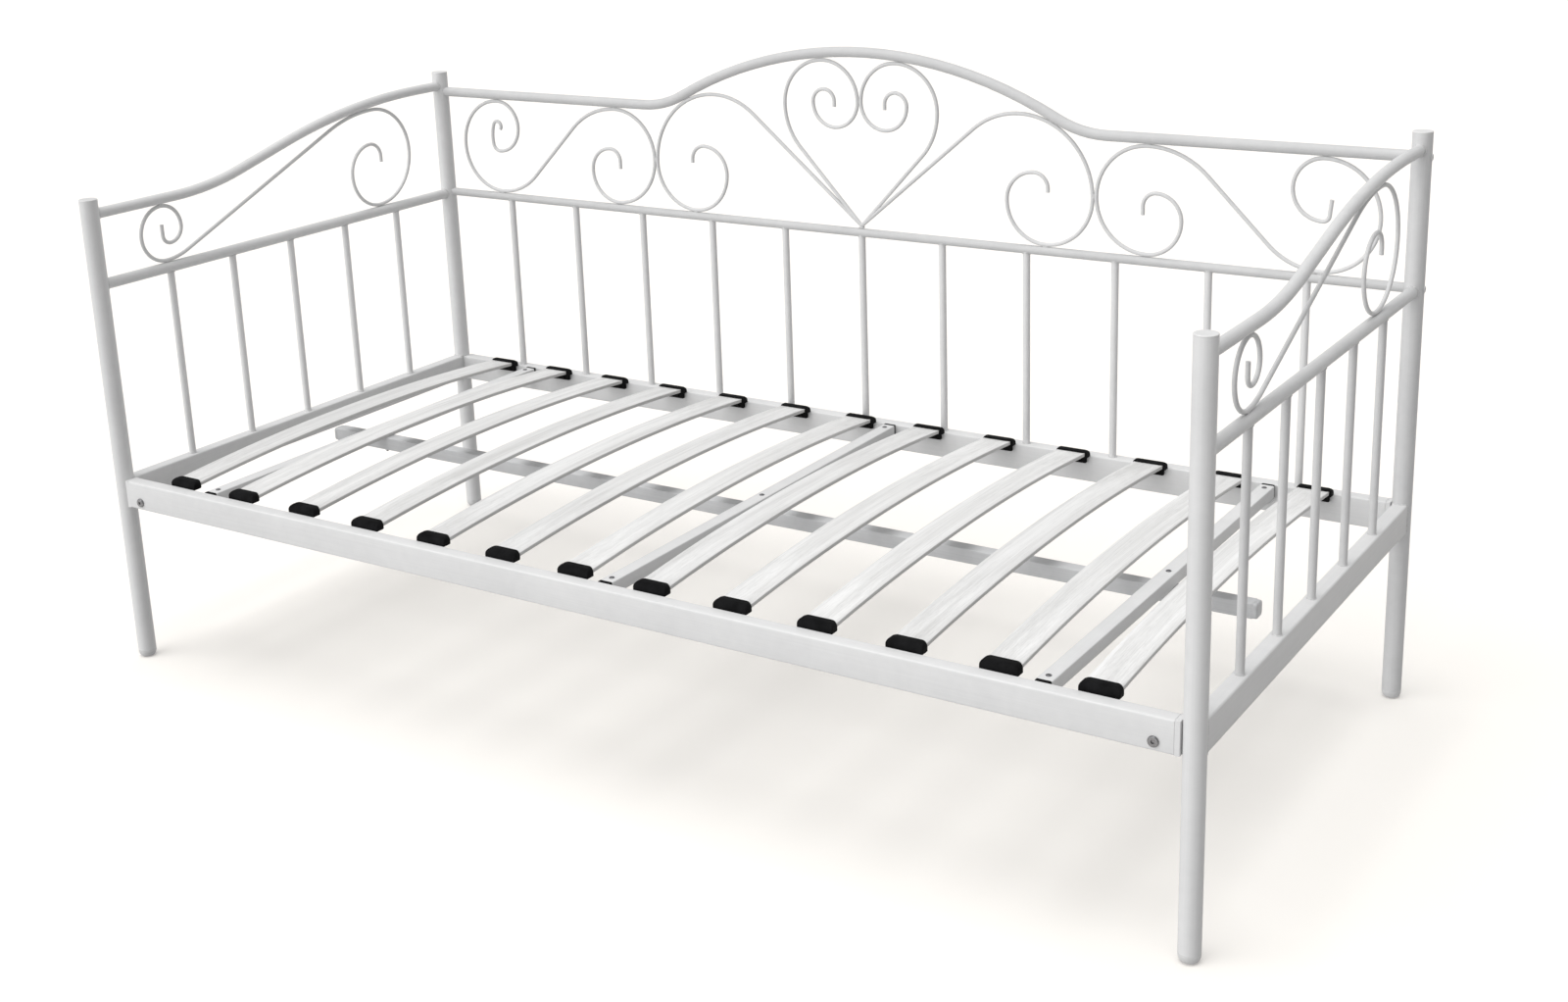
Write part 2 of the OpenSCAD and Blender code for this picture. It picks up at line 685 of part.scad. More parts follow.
left_front_post();
left_back_post();
left_top_rail();
left_mid_rail();
left_bottom_rail();
left_spindles();
left_scroll();
right_front_post();
right_back_post();
right_top_rail();
right_mid_rail();
right_bottom_rail();
right_spindles();
right_scroll();
back_top_rail();
back_mid_rail();
back_spindles();
back_rail();
scroll_outer_left();
scroll_inner_left();
heart_left();
heart_right();
scroll_inner_right();
scroll_outer_right();
front_rail();
bracket_front_left();
bracket_front_right();
bracket_back_left();
bracket_back_right();
slat_01();
slat_02();
slat_03();
slat_04();
slat_05();
slat_06();
slat_07();
slat_08();
slat_09();
slat_10();
slat_11();
slat_12();
slat_13();
front_slat_holders();
back_slat_holders();
cross_bar_tabs();
cross_bar_left();
cross_bar_centre();
cross_bar_right();
cross_bar_plugs();
cross_bar_screws();
cross_bar_nuts();
centre_beam();
centre_beam_plugs();
post_top_caps();
foot_caps();
rail_bolts();
rail_nuts();
back_panel_bolts();
rail_end_plugs();
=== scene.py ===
import math

import bpy
import bmesh
import numpy as np
from mathutils import Matrix, Vector


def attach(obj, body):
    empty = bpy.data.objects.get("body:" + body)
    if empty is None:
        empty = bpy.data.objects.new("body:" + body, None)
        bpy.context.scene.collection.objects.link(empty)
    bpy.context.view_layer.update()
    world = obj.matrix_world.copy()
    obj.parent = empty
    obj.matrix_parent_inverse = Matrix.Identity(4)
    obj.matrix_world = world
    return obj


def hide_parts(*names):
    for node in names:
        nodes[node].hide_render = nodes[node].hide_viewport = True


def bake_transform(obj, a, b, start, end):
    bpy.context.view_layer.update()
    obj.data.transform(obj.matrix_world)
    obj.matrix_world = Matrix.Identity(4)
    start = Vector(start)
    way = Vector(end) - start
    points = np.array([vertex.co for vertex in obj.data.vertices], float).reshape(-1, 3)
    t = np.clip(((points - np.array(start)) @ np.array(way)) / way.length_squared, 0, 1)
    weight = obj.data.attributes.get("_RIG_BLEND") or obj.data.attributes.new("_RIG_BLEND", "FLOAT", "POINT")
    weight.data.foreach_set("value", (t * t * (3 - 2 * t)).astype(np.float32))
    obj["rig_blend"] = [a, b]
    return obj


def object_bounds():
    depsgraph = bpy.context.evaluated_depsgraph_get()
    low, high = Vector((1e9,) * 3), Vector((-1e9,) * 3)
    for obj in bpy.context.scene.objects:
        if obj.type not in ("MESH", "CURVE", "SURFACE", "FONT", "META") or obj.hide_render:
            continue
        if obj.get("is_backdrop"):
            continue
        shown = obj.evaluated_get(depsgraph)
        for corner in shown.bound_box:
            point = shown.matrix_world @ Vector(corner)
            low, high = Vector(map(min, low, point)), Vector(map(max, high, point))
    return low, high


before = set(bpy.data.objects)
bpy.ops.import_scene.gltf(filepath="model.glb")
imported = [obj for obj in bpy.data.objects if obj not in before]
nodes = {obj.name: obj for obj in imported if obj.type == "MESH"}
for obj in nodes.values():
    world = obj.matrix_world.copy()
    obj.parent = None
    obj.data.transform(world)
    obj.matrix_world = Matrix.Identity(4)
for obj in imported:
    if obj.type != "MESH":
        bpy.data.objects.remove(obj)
cad_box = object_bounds()
MM = 0.001

# Sizes of the part, in millimetres
XP, YP, PR = 1025.0, 458.0, 16.0          # post centres and radius
FRONT_H, BACK_H = 863.0, 966.0
CAP_H, FOOT_H = 2.0, 14.0
RAIL_W, RAIL_H, RAIL_TOP, RAIL_WALL = 25.0, 50.0, 349.0, 1.5
RAIL_Z0 = RAIL_TOP - RAIL_H
RAIL_END = XP - 24.0
RAIL_IN = YP - RAIL_W / 2
BOLT_X, BOLT_Z = XP - 52.0, RAIL_Z0 + 14.0
TOP_D, SIDE_MID_D, BACK_MID_D, ROD_D, SPINDLE_D = 19.0, 20.0, 16.0, 7.0, 13.0
SIDE_MID_Z, BACK_MID_Z, BACK_TOP_Z, SIDE_TOP_Z = 708.0, 712.0, 925.0, 835.0
PITCH, SLAT_W, SLAT_T, BOW = 147.5, 54.0, 7.0, 20.0
SLAT_Z = RAIL_TOP + 0.6
SLAT_HALF = RAIL_IN - 4.5
SLAT_R = (SLAT_HALF ** 2 + BOW ** 2) / (2 * BOW)
SLAT_A = math.asin(SLAT_HALF / SLAT_R)
HOLD_W, HOLD_D, HOLD_Z0, HOLD_Z1, HOLD_GAP = SLAT_W + 6, 20.0, RAIL_TOP - 14, RAIL_TOP + 12.5, 0.1
HOOD_Z0 = RAIL_TOP - 1.6
PIN_Z = RAIL_TOP - 7.5
BAR_W, BAR_H, BAR_TOP, BAR_HALF = 25.0, 22.0, RAIL_TOP - 0.5, RAIL_IN - 7.3
BAR_Z0 = BAR_TOP - BAR_H
BAR_X = [-5.5 * PITCH - 7, 0.5 * PITCH - 13, 5.5 * PITCH - 9]
BAR_SCREW_Y = RAIL_IN - 22.0
BEAM_W, BEAM_HALF, BEAM_PLUG = 25.0, 939.0, 8.0
BEAM_Z0 = BAR_Z0 - 25.0


# ------------------------------------------------------------------ materials

def material(name):
    m = bpy.data.materials.new(name)
    m.use_nodes = True
    t = m.node_tree
    t.nodes.clear()
    out = t.nodes.new("ShaderNodeOutputMaterial")
    sh = t.nodes.new("ShaderNodeBsdfPrincipled")
    t.links.new(sh.outputs[0], out.inputs[0])
    return m, t, sh


def node(t, kind, **values):
    n = t.nodes.new(kind)
    for k, v in values.items():
        if k.startswith("in_"):
            n.inputs[int(k[3:])].default_value = v
        else:
            setattr(n, k, v)
    return n


def object_coords(t, scale):
    tc = node(t, "ShaderNodeTexCoord")
    mp = node(t, "ShaderNodeMapping")
    mp.inputs["Scale"].default_value = scale
    t.links.new(tc.outputs["Object"], mp.inputs["Vector"])
    return mp.outputs[0]


def noise_tex(t, scale, size, detail=3.0, rough=0.55, distort=0.0):
    n = node(t, "ShaderNodeTexNoise")
    n.inputs["Scale"].default_value = size
    n.inputs["Detail"].default_value = detail
    n.inputs["Roughness"].default_value = rough
    n.inputs["Distortion"].default_value = distort
    t.links.new(object_coords(t, scale), n.inputs["Vector"])
    return n.outputs["Fac"]


def remap(t, value, a, b, c, d):
    n = node(t, "ShaderNodeMapRange")
    n.inputs["From Min"].default_value = a
    n.inputs["From Max"].default_value = b
    n.inputs["To Min"].default_value = c
    n.inputs["To Max"].default_value = d
    t.links.new(value, n.inputs["Value"])
    return n.outputs[0]


def maths(t, op, a, b=None, c=None):
    n = node(t, "ShaderNodeMath", operation=op)
    for i, v in enumerate((a, b, c)):
        if v is None:
            continue
        if isinstance(v, (int, float)):
            n.inputs[i].default_value = v
        else:
            t.links.new(v, n.inputs[i])
    return n.outputs[0]


def mix_colour(t, fac, a, b, blend="MIX"):
    n = node(t, "ShaderNodeMix", data_type="RGBA", blend_type=blend)
    for i, v in ((0, fac), (6, a), (7, b)):
        if isinstance(v, (int, float)):
            n.inputs[i].default_value = v
        elif isinstance(v, tuple):
            n.inputs[i].default_value = (*v, 1.0)
        else:
            t.links.new(v, n.inputs[i])
    return n.outputs[2]


def bump(t, heights, shader):
    """heights is a list of (value, strength, distance in metres)."""
    last = None
    for value, strength, distance in heights:
        b = node(t, "ShaderNodeBump")
        b.inputs["Strength"].default_value = strength
        b.inputs["Distance"].default_value = distance
        t.links.new(value, b.inputs["Height"])
        if last is not None:
            t.links.new(last, b.inputs["Normal"])
        last = b.outputs[0]
    t.links.new(last, shader.inputs["Normal"])


def coat(name, light, dark, along, rough=(0.44, 0.58)):
    """Powder coat on steel: fine orange peel, slow changes of tone, and faint drawn
    lines along the tube."""
    m, t, sh = material(name)
    slow = noise_tex(t, (1, 1, 1), 7.0, 4.0, 0.6)
    cloud = noise_tex(t, (1, 1, 1), 60.0, 3.0, 0.5)
    lines_scale = {"x": (4, 420, 420), "y": (420, 4, 420), "z": (420, 420, 4), "n": (90, 90, 90)}[along]
    lines = noise_tex(t, lines_scale, 1.0, 4.0, 0.65)
    tone = maths(t, "ADD", maths(t, "MULTIPLY", slow, 0.45),
                 maths(t, "ADD", maths(t, "MULTIPLY", cloud, 0.25), maths(t, "MULTIPLY", lines, 0.30)))
    colour = mix_colour(t, remap(t, tone, 0.36, 0.64, 0.0, 1.0), dark, light)
    t.links.new(colour, sh.inputs["Base Color"])
    t.links.new(remap(t, cloud, 0.3, 0.7, rough[0], rough[1]), sh.inputs["Roughness"])
    peel = noise_tex(t, (1, 1, 1), 620.0, 2.0, 0.5)
    wave = noise_tex(t, (1, 1, 1), 110.0, 2.0, 0.5)
    bump(t, [(wave, 0.10, 0.0005), (peel, 0.16, 0.00012), (lines, 0.05, 0.0001)], sh)
    sh.inputs["Specular IOR Level"].default_value = 0.32
    return m


WHITE_LIGHT, WHITE_DARK = (0.780, 0.779, 0.776), (0.708, 0.708, 0.708)
coat_x = coat("powder_coat_x", WHITE_LIGHT, WHITE_DARK, "x")
coat_y = coat("powder_coat_y", WHITE_LIGHT, WHITE_DARK, "y")
coat_z = coat("powder_coat_z", WHITE_LIGHT, WHITE_DARK, "z")
coat_n = coat("powder_coat_bent", WHITE_LIGHT, WHITE_DARK, "n")
# Darker copies of the same white coat, for the pieces on the right, at the back and for the bent rods: painted shade,
# not a second paint.
PAINTED_SHADE_TONE_HI, PAINTED_SHADE_TONE_LO = (0.725, 0.724, 0.722), (0.640, 0.641, 0.643)
painted_shade_coat_x = coat("powder_coat_painted_shade_x", (0.635, 0.634, 0.632), (0.555, 0.556, 0.558), "x")
painted_shade_coat_y = coat("powder_coat_painted_shade_y", PAINTED_SHADE_TONE_HI, PAINTED_SHADE_TONE_LO, "y")
painted_shade_coat_bent = coat("powder_coat_painted_shade_bent", PAINTED_SHADE_TONE_HI, PAINTED_SHADE_TONE_LO, "n")
painted_shade_coat_z = coat("powder_coat_painted_shade_z", (0.715, 0.714, 0.712), (0.630, 0.631, 0.633), "z")
# A lighter copy of the same white coat, for the left spindles: painted light.
painted_light_coat_z = coat("powder_coat_painted_light_z", (0.825, 0.824, 0.821), (0.752, 0.752, 0.752), "z")
# A darker copy of the same white coat, for the centre beam under the slats: painted shade.
painted_shade_coat_beam = coat("powder_coat_painted_shade_beam", (0.66, 0.663, 0.668), (0.56, 0.564, 0.57), "x", (0.44, 0.58))


def weld_coat():
    """The same coat over a weld bead: rippled, with painted shade in its hollows, where the colour darkens as the
    ripple falls.
    """
    m, t, sh = material("powder_coat_painted_shade_weld")
    lump = noise_tex(t, (1, 1, 1), 420.0, 3.0, 0.6)
    # painted shade: the colour is darker where the ripple is low, in the hollows between the passes
    colour = mix_colour(t, remap(t, lump, 0.35, 0.65, 0.0, 1.0), (0.55, 0.55, 0.55), (0.74, 0.74, 0.737))
    t.links.new(colour, sh.inputs["Base Color"])
    t.links.new(remap(t, lump, 0.3, 0.7, 0.32, 0.5), sh.inputs["Roughness"])
    bump(t, [(lump, 0.35, 0.0006)], sh)
    return m


def wood():
    """Pale layered birch: long grain, each slat with its own tone, layers on its edges."""
    m, t, sh = material("slat_birch")
    tc = node(t, "ShaderNodeTexCoord")
    sep = node(t, "ShaderNodeSeparateXYZ")
    t.links.new(tc.outputs["Object"], sep.inputs[0])
    number = maths(t, "ROUND", maths(t, "DIVIDE", sep.outputs[0], PITCH * MM))
    one = node(t, "ShaderNodeTexWhiteNoise", noise_dimensions="1D")
    t.links.new(number, one.inputs["W"])
    own = one.outputs["Value"]
    # grain runs along Y; each slat reads another part of the pattern
    shift = node(t, "ShaderNodeCombineXYZ")
    t.links.new(maths(t, "MULTIPLY", own, 37.0), shift.inputs[1])
    moved = node(t, "ShaderNodeVectorMath", operation="ADD")
    t.links.new(tc.outputs["Object"], moved.inputs[0])
    t.links.new(shift.outputs[0], moved.inputs[1])

    def grain(scale, detail, rough, distort=0.0):
        mp = node(t, "ShaderNodeMapping")
        mp.inputs["Scale"].default_value = scale
        t.links.new(moved.outputs[0], mp.inputs["Vector"])
        n = node(t, "ShaderNodeTexNoise")
        n.inputs["Scale"].default_value = 1.0
        n.inputs["Detail"].default_value = detail
        n.inputs["Roughness"].default_value = rough
        n.inputs["Distortion"].default_value = distort
        t.links.new(mp.outputs[0], n.inputs["Vector"])
        return n.outputs["Fac"]

    broad = grain((55, 1.3, 55), 3.0, 0.55, 0.6)
    fine = grain((520, 5.0, 520), 4.0, 0.7, 0.2)
    fleck = grain((900, 40.0, 900), 2.0, 0.5)
    tone = maths(t, "ADD", maths(t, "MULTIPLY", broad, 0.55), maths(t, "MULTIPLY", fine, 0.45))
    face = mix_colour(t, remap(t, tone, 0.37, 0.63, 0.0, 1.0), (0.660, 0.656, 0.645), (0.882, 0.880, 0.872))
    flecks = remap(t, fleck, 0.64, 0.76, 1.0, 0.84)
    face = mix_colour(t, 1.0, face, _grey(t, flecks), "MULTIPLY")
    face = mix_colour(t, 1.0, face, _grey(t, remap(t, own, 0.0, 1.0, 0.955, 1.03)), "MULTIPLY")
    # the layers show as thin darker lines on the long edges only
    ply = node(t, "ShaderNodeAttribute", attribute_name="ply")
    line = maths(t, "ABSOLUTE", maths(t, "SINE", maths(t, "MULTIPLY", ply.outputs["Fac"], math.pi * 5)))
    edge = node(t, "ShaderNodeAttribute", attribute_name="edge")
    seam = maths(t, "MULTIPLY", remap(t, line, 0.0, 0.55, 1.0, 0.0), edge.outputs["Fac"])
    seam = maths(t, "ADD", maths(t, "MULTIPLY", seam, 0.45), maths(t, "MULTIPLY", edge.outputs["Fac"], 0.22))
    face = mix_colour(t, seam, face, (0.34, 0.325, 0.31))
    t.links.new(face, sh.inputs["Base Color"])
    t.links.new(remap(t, tone, 0.3, 0.7, 0.60, 0.46), sh.inputs["Roughness"])
    bump(t, [(fine, 0.20, 0.00018), (broad, 0.10, 0.0004)], sh)
    sh.inputs["Specular IOR Level"].default_value = 0.35
    return m


def _grey(t, value):
    n = node(t, "ShaderNodeCombineColor")
    for i in range(3):
        t.links.new(value, n.inputs[i])
    return n.outputs[0]


def plastic(name, a, b, rough, grainy, strength, gloss=0.5):
    m, t, sh = material(name)
    sh.inputs["Specular IOR Level"].default_value = gloss
    cloud = noise_tex(t, (1, 1, 1), 45.0, 3.0, 0.6)
    fine = noise_tex(t, (1, 1, 1), grainy, 2.0, 0.6)
    t.links.new(mix_colour(t, remap(t, cloud, 0.35, 0.65, 0.0, 1.0), a, b), sh.inputs["Base Color"])
    t.links.new(remap(t, fine, 0.3, 0.7, rough[0], rough[1]), sh.inputs["Roughness"])
    bump(t, [(fine, strength, 0.0003), (cloud, 0.08, 0.0006)], sh)
    return m


def zinc(name, a, b):
    m, t, sh = material(name)
    spangle = node(t, "ShaderNodeTexVoronoi")
    spangle.inputs["Scale"].default_value = 700.0
    t.links.new(object_coords(t, (1, 1, 1)), spangle.inputs["Vector"])
    cloud = noise_tex(t, (1, 1, 1), 260.0, 3.0, 0.6)
    mixed = maths(t, "ADD", maths(t, "MULTIPLY", cloud, 0.6), maths(t, "MULTIPLY", spangle.outputs["Distance"], 0.5))
    t.links.new(mix_colour(t, remap(t, mixed, 0.3, 0.8, 0.0, 1.0), a, b), sh.inputs["Base Color"])
    t.links.new(remap(t, cloud, 0.3, 0.7, 0.30, 0.52), sh.inputs["Roughness"])
    sh.inputs["Metallic"].default_value = 1.0
    bump(t, [(cloud, 0.12, 0.0002)], sh)
    return m


weld_painted_shade_coat = weld_coat()
birch = wood()
black = plastic("holder_black", (0.004, 0.004, 0.0043), (0.010, 0.010, 0.0107), (0.62, 0.80), 1500.0, 0.35, 0.06)
white_cap = plastic("cap_white", (0.74, 0.74, 0.735), (0.80, 0.80, 0.795), (0.28, 0.38), 900.0, 0.10)
grey_cap = plastic("cap_grey", (0.50, 0.505, 0.51), (0.60, 0.605, 0.61), (0.34, 0.46), 900.0, 0.12)
steel = zinc("zinc_plate", (0.36, 0.37, 0.39), (0.62, 0.63, 0.65))
dark_steel = zinc("bolt_steel", (0.13, 0.13, 0.135), (0.30, 0.30, 0.31))


# ------------------------------------------------------------------ mesh helpers

def add_piece(name, verts, faces, mat, replaces=(), angle=38.0, body="frame"):
    """verts in millimetres."""
    me = bpy.data.meshes.new(name)
    me.from_pydata([tuple(c * MM for c in v) for v in verts], [], faces)
    me.validate()
    bm = bmesh.new()
    bm.from_mesh(me)
    bmesh.ops.recalc_face_normals(bm, faces=bm.faces)
    bm.to_mesh(me)
    bm.free()
    me.shade_smooth()
    me.set_sharp_from_angle(angle=math.radians(angle))
    me.materials.append(mat)
    o = bpy.data.objects.new(name, me)
    bpy.context.scene.collection.objects.link(o)
    if body:
        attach(o, body)
    if replaces:
        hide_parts(*replaces)
    return o


class Build:
    """Collects several closed shells into one mesh."""

    def __init__(self):
        self.v, self.f = [], []

    def add(self, verts, faces):
        k = len(self.v)
        self.v += [tuple(p) for p in verts]
        self.f += [tuple(i + k for i in q) for q in faces]

    def grid(self, rings, close_ends=True):
        """Rings of equal length, joined one after the other. Each ring is closed."""
        n = len(rings[0])
        verts = [p for r in rings for p in r]
        faces = []
        for j in range(len(rings) - 1):
            for i in range(n):
                a, b = j * n + i, j * n + (i + 1) % n
                faces.append((a, b, b + n, a + n))
        if close_ends:
            faces.append(tuple(range(n - 1, -1, -1)))
            last = (len(rings) - 1) * n
            faces.append(tuple(last + i for i in range(n)))
        self.add(verts, faces)

    def loop_grid(self, rings):
        """As grid, but the last ring joins the first."""
        n, m = len(rings[0]), len(rings)
        verts = [p for r in rings for p in r]
        faces = []
        for j in range(m):
            for i in range(n):
                a, b = j * n + i, j * n + (i + 1) % n
                c, d = ((j + 1) % m) * n + (i + 1) % n, ((j + 1) % m) * n + i
                faces.append((a, b, c, d))
        self.add(verts, faces)


def rounded_rect(w, h, r, n=5, along=1):
    """Points of a rounded rectangle about the middle, anticlockwise; along is how many
    stretches each side of length w is cut into."""
    pts = []
    for cx, cy, a0 in ((w / 2 - r, -h / 2 + r, -90), (w / 2 - r, h / 2 - r, 0),
                       (-w / 2 + r, h / 2 - r, 90), (-w / 2 + r, -h / 2 + r, 180)):
        for k in range(n + 1):
            a = math.radians(a0 + 90 * k / n)
            pts.append((cx + r * math.cos(a), cy + r * math.sin(a)))
        if along > 1:
            # the side that follows this corner
            if a0 == 0:
                a, b = pts[-1], (-w / 2 + r, h / 2)
                pts += [(a[0] + (b[0] - a[0]) * k / along, a[1]) for k in range(1, along)]
            if a0 == 180:
                a, b = pts[-1], (w / 2 - r, -h / 2)
                pts += [(a[0] + (b[0] - a[0]) * k / along, a[1]) for k in range(1, along)]
    return pts


def box_tube(build, w, h, wall, r, at, ends, along=1, stations=(0.0, 0.02, 0.98, 1.0)):
    """A box-section tube with rounded corners. at(s, a, b) gives the point at length s and
    section place a, b; ends(a, b) gives the two lengths where that line starts and stops."""
    outer = rounded_rect(w, h, r, 5, along)
    inner = rounded_rect(w - 2 * wall, h - 2 * wall, max(r - wall, 0.3), 5, along)
    rings = []
    for prof, order in ((outer, stations), (inner, tuple(reversed(stations)))):
        for t in order:
            ring = []
            for a, b in prof:
                s0, s1 = ends(a, b)
                ring.append(at(s0 + (s1 - s0) * t, a, b))
            rings.append(ring)
    build.loop_grid(rings)


def turned(build, profile, centre, segs=64, axis="z"):
    """Turns a profile of (radius, height) about an axis through centre. It starts and ends
    on the axis or is closed by a flat face."""
    rings = []
    for r, z in profile:
        ring = []
        for i in range(segs):
            a = 2 * math.pi * i / segs
            c, s = r * math.cos(a), r * math.sin(a)
            ring.append(place(centre, axis, c, s, z))
        rings.append(ring)
    build.grid(rings)


def place(centre, axis, a, b, h):
    x, y, z = centre
    if axis == "z":
        return (x + a, y + b, z + h)
    if axis == "-y":      # stands out towards -Y
        return (x + a, y - h, z + b)
    if axis == "y":
        return (x - a, y + h, z + b)
    if axis == "x":
        return (x + h, y + a, z + b)
    return (x - h, y - a, z + b)  # "-x"


def rod(build, pts, radii, segs=10, closed=False):
    """A round rod along points, with a radius for each."""
    P = np.array(pts, float)
    n = len(P)
    if closed:
        T = np.roll(P, -1, 0) - np.roll(P, 1, 0)
    else:
        T = np.gradient(P, axis=0)
    T /= np.linalg.norm(T, axis=1)[:, None]
    up = np.array([0.0, 0.0, 1.0])
    if abs(T[0] @ up) > 0.9:
        up = np.array([0.0, 1.0, 0.0])
    N = up - (up @ T[0]) * T[0]
    N /= np.linalg.norm(N)
    frames = []
    for i in range(n):
        N = N - (N @ T[i]) * T[i]
        N /= np.linalg.norm(N)
        frames.append((N.copy(), np.cross(T[i], N)))
    turn = 0.0
    if closed:
        # the frame must come back to where it started
        M = frames[-1][0] - (frames[-1][0] @ T[0]) * T[0]
        turn = math.atan2(M @ frames[0][1], M @ frames[0][0])
    rings = []
    for i in range(n):
        a0 = -turn * i / n if closed else 0.0
        ring = []
        for k in range(segs):
            a = a0 + 2 * math.pi * k / segs
            p = P[i] + radii[i] * (math.cos(a) * frames[i][0] + math.sin(a) * frames[i][1])
            ring.append(tuple(p))
        rings.append(ring)
    if closed:
        build.loop_grid(rings)
    else:
        build.grid(rings)


rng = np.random.RandomState(7)


def bead(build, pts, radius, closed=True, segs=8):
    """A weld bead with the uneven ripple of its passes."""
    n = len(pts)
    phase = rng.rand() * 6.28
    wob = 1 + 0.16 * np.sin(np.arange(n) * 1.9 + phase) + 0.12 * (rng.rand(n) - 0.5)
    radii = radius * wob
    if not closed:
        radii = radii * np.clip(np.sin(np.linspace(0.12, math.pi - 0.12, n)) * 1.6, 0.25, 1.0)
    rod(build, pts, radii, segs, closed)


# ------------------------------------------------------------------ box rails

def end_square(a, b):
    return -RAIL_END, RAIL_END


for name, sy in (("front_rail", -1), ("back_rail", 1)):
    bld = Build()
    box_tube(bld, RAIL_W, RAIL_H, RAIL_WALL, 3.0,
             lambda s, a, b, sy=sy: (s, sy * YP + a, RAIL_TOP - RAIL_H / 2 + b), end_square)
    add_piece(name + "_coated", bld.v, bld.f, coat_x, [name])

for name, sx in (("left_bottom_rail", -1), ("right_bottom_rail", 1)):
    bld = Build()

    def cope(a, b):
        reach = YP - math.sqrt((PR + 0.05) ** 2 - a * a)
        return -reach, reach

    box_tube(bld, RAIL_W, RAIL_H, RAIL_WALL, 3.0,
             lambda s, a, b, sx=sx: (sx * XP + a, s, RAIL_TOP - RAIL_H / 2 + b), cope, along=12)
    add_piece(name + "_coated", bld.v, bld.f, coat_y, [name])

for name, x in zip(("cross_bar_left", "cross_bar_centre", "cross_bar_right"), BAR_X):
    bld = Build()
    box_tube(bld, BAR_W, BAR_H, 1.2, 1.8,
             lambda s, a, b, x=x: (x + a, s, BAR_Z0 + BAR_H / 2 + b), lambda a, b: (-BAR_HALF, BAR_HALF))
    add_piece(name + "_coated", bld.v, bld.f, coat_y, [name])

bld = Build()
box_tube(bld, BEAM_W, 25.0, 1.5, 2.0,
         lambda s, a, b: (s, a, BEAM_Z0 + 12.5 + b), lambda a, b: (-BEAM_HALF, BEAM_HALF))
add_piece("centre_beam_coated", bld.v, bld.f, painted_shade_coat_beam, ["centre_beam"])

# end plugs of the beam: a rounded cap that stands a little out of the tube
bld = Build()
for s in (-1, 1):
    rings = []
    for h, inset, r in ((0.05, 0.15, 4.6), (0.5, 0.0, 5.0), (BEAM_PLUG - 2.4, 0.0, 5.0), (BEAM_PLUG - 1.2, 0.35, 5.0),
                        (BEAM_PLUG - 0.4, 1.1, 5.0), (BEAM_PLUG, 2.4, 5.0)):
        rings.append([(s * (BEAM_HALF + h), a * s, BEAM_Z0 + 12.5 + b)
                      for a, b in rounded_rect(BEAM_W - 2 * inset, 25.0 - 2 * inset, r, 6)])
    bld.grid(rings)
    rings = []
    for h, inset in ((-14.0, 2.1), (-13.0, 1.75), (-1.0, 1.75), (0.1, 1.75)):
        rings.append([(s * (BEAM_HALF + h), a * s, BEAM_Z0 + 12.5 + b)
                      for a, b in rounded_rect(BEAM_W - 2 * inset, 25.0 - 2 * inset, 1.0, 6)])
    bld.grid(rings)
add_piece("beam_plugs_moulded", bld.v, bld.f, grey_cap, ["centre_beam_plugs"])


# ------------------------------------------------------------------ slats

def slat_piece(i):
    x0 = (i - 7) * PITCH
    prof = rounded_rect(SLAT_W, SLAT_T, 1.5, 4, 8)
    n_st = 121
    zc = SLAT_Z + BOW - SLAT_R
    verts, faces, ply, edge, weight = [], [], [], [], []
    m = len(prof)

    def ring(alpha, inset):
        for a, b in prof:
            k = 1 - 2 * inset / SLAT_W
            kt = 1 - 2 * inset / SLAT_T
            t = SLAT_T / 2 + b * kt
            r = SLAT_R + t
            verts.append((x0 + a * k, r * math.sin(alpha), zc + r * math.cos(alpha)))
            ply.append(t / SLAT_T)
            edge.append(1.0 if abs(a) > SLAT_W / 2 - 0.9 else 0.0)
            u = min(abs(verts[-1][1]) / (RAIL_IN - HOLD_D + 1.0), 1.0)
            weight.append(math.cos(u * math.pi / 2))

    tip = 0.35 / SLAT_R
    ring(-SLAT_A, 0.45)
    for j in range(n_st):
        ring(-SLAT_A + tip + (2 * SLAT_A - 2 * tip) * j / (n_st - 1), 0.0)
    ring(SLAT_A, 0.45)
    total = n_st + 2
    for j in range(total - 1):
        for k in range(m):
            a, b = j * m + k, j * m + (k + 1) % m
            faces.append((a, b, b + m, a + m))
    faces.append(tuple(range(m - 1, -1, -1)))
    faces.append(tuple((total - 1) * m + k for k in range(m)))
    o = add_piece("slat_%02d_bent" % i, verts, faces, birch, (), 40.0, None)
    me = o.data
    for key, vals in (("ply", ply), ("edge", edge)):
        me.attributes.new(key, "FLOAT", "POINT").data.foreach_set("value", np.array(vals, np.float32))
    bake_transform(o, "frame", "slat_%02d" % i, start=(x0 * MM, -0.43, 0.36), end=(x0 * MM, 0.0, 0.36))
    me.attributes["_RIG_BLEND"].data.foreach_set("value", np.array(weight, np.float32))
    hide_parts("slat_%02d" % i)
    return o


for i in range(1, 14):
    slat_piece(i)


# ------------------------------------------------------------------ slat holders

